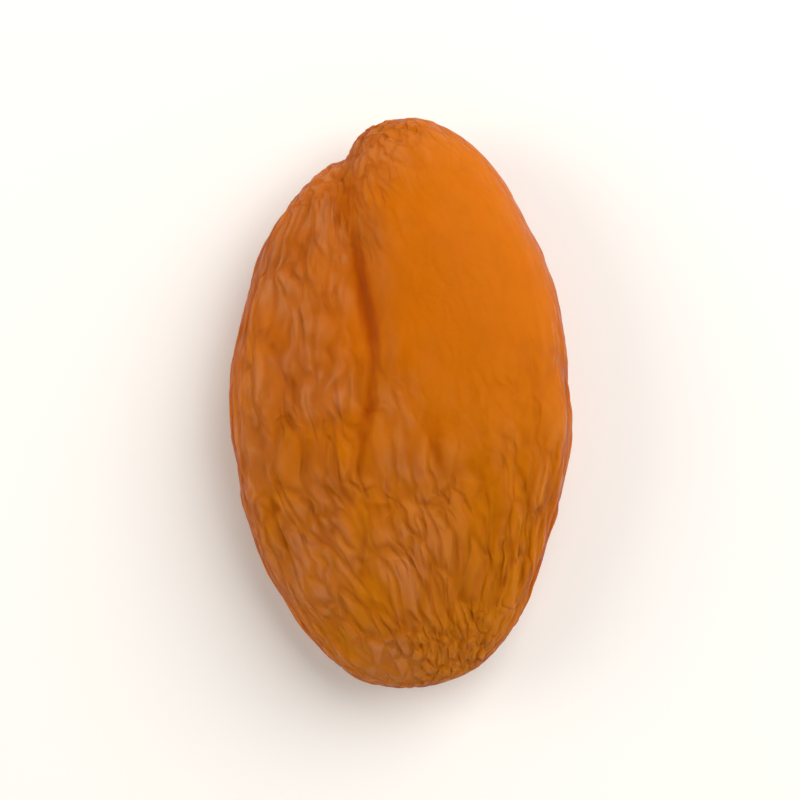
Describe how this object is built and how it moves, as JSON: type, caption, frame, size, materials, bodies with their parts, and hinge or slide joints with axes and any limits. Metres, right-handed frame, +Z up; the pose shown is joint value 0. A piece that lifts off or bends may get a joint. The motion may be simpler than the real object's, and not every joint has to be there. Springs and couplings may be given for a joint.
{
  "type": "dried apricot",
  "caption": "Whole dried apricot, stoned and pressed flat: a plump oval with a lengthwise groove and finely wrinkled skin, lying on its flatter face.",
  "frame": {"origin": "under the middle of the fruit's outline, on the surface that it lies on", "axes": "+Z up, +Y along the fruit from its tip to its stem end, +X across it"},
  "size_m": [0.0304, 0.05, 0.0134],
  "materials": {
    "dried_skin": "translucent orange dried fruit skin, softly glossy over fine wrinkles"
  },
  "bodies": {
    "root": {"dried_apricot": "dried_skin"}
  },
  "joints": []
}
